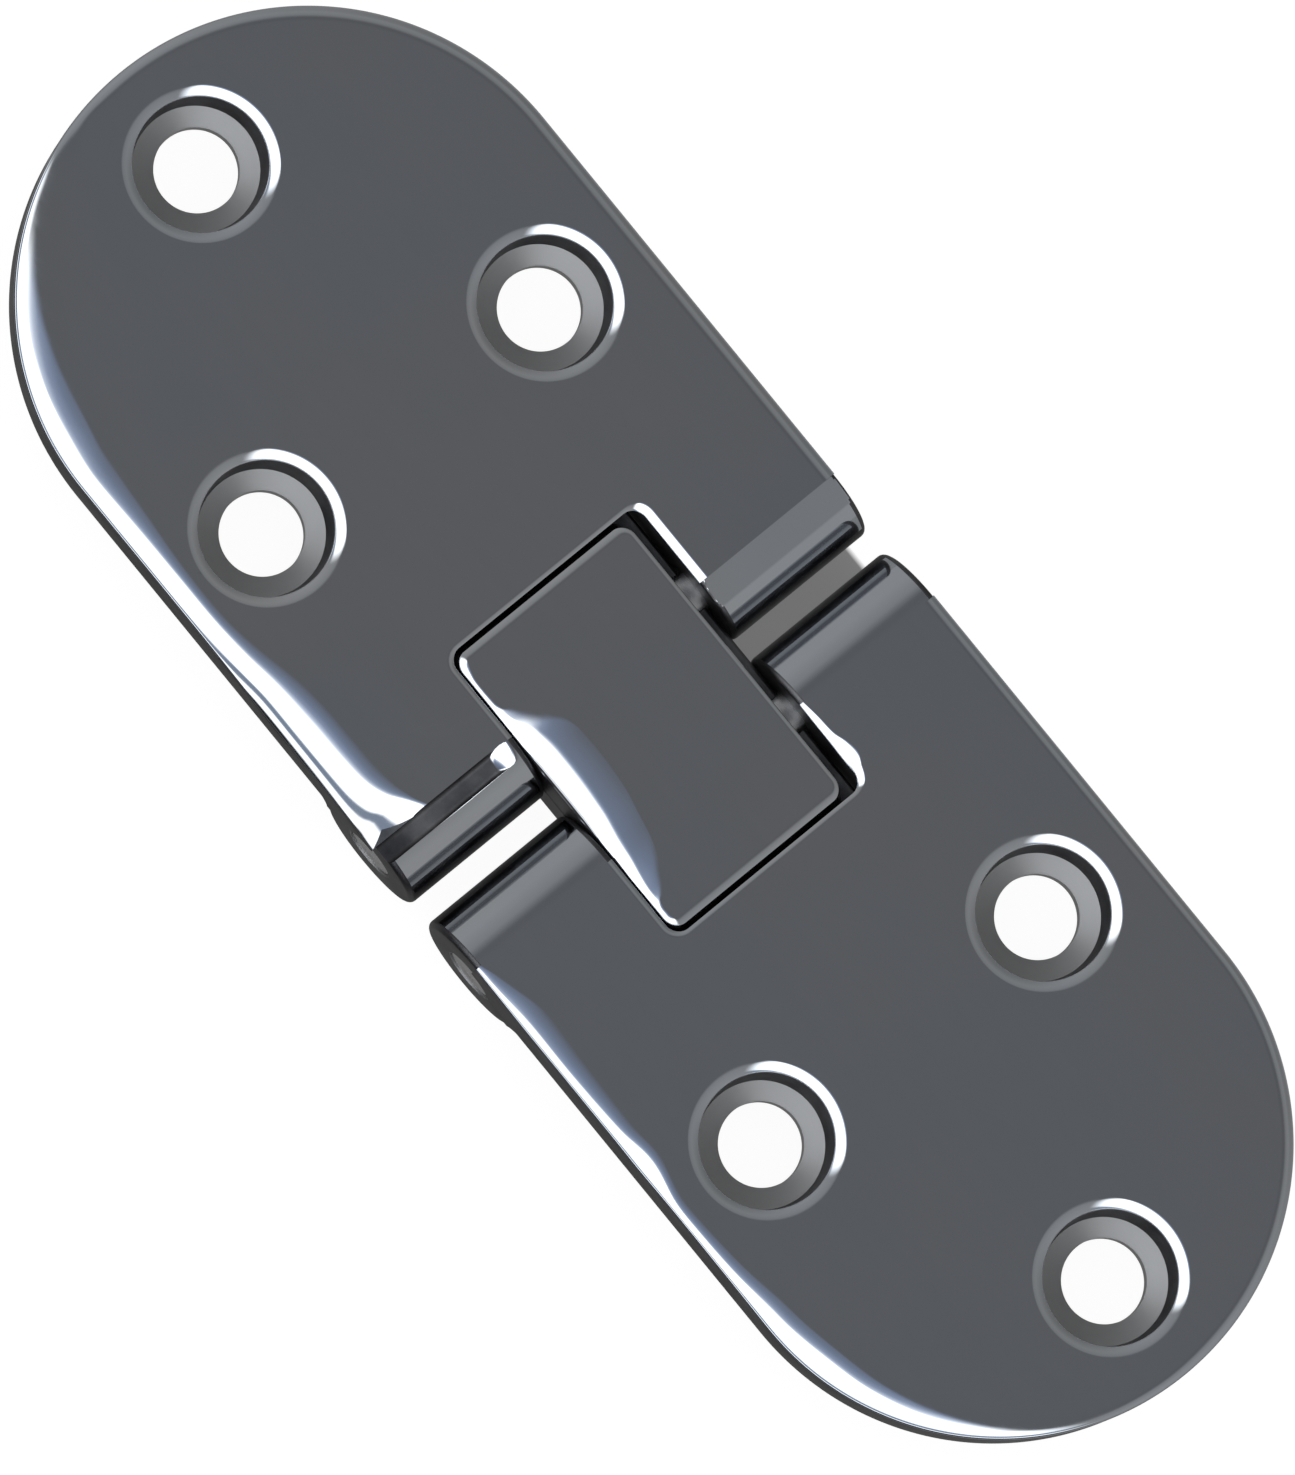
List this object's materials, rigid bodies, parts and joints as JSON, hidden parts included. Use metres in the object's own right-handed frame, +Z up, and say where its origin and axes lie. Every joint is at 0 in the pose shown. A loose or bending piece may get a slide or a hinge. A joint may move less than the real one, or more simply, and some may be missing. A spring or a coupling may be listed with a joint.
{
  "type": "concealed flush hinge",
  "caption": "Flush folding hinge: two round-ended leaves joined by a link on two pins, lying level when open and folding face to face, with countersunk screw holes.",
  "frame": {"origin": "under the middle of the open hinge, level with the lowest line of the barrels", "axes": "+X along the open hinge towards leaf_b, +Y along the pins, +Z up out of the top face"},
  "size_m": [0.11, 0.0394, 0.0086],
  "materials": {
    "polished_leaf": "cast stainless steel, mirror polished on top and satin underneath",
    "polished_link": "cast stainless steel, mirror polished on top and satin underneath",
    "pin_steel": "turned stainless steel, ground"
  },
  "bodies": {
    "leaf_a_body": {"leaf_a": "polished_leaf", "pin_a": "pin_steel"},
    "link_body": {"link": "polished_link"},
    "leaf_b_body": {"leaf_b": "polished_leaf", "pin_b": "pin_steel"}
  },
  "joints": [
    {"name": "link_fold", "type": "hinge", "parent": "leaf_a_body", "child": "link_body", "pos_m": [-0.00515, 0, 0.0043], "axis": [0, -1, 0], "range_deg": [0, 90]},
    {"name": "leaf_fold", "type": "hinge", "parent": "link_body", "child": "leaf_b_body", "pos_m": [0.00515, 0, 0.0043], "axis": [0, -1, 0], "range_deg": [0, 90]}
  ]
}
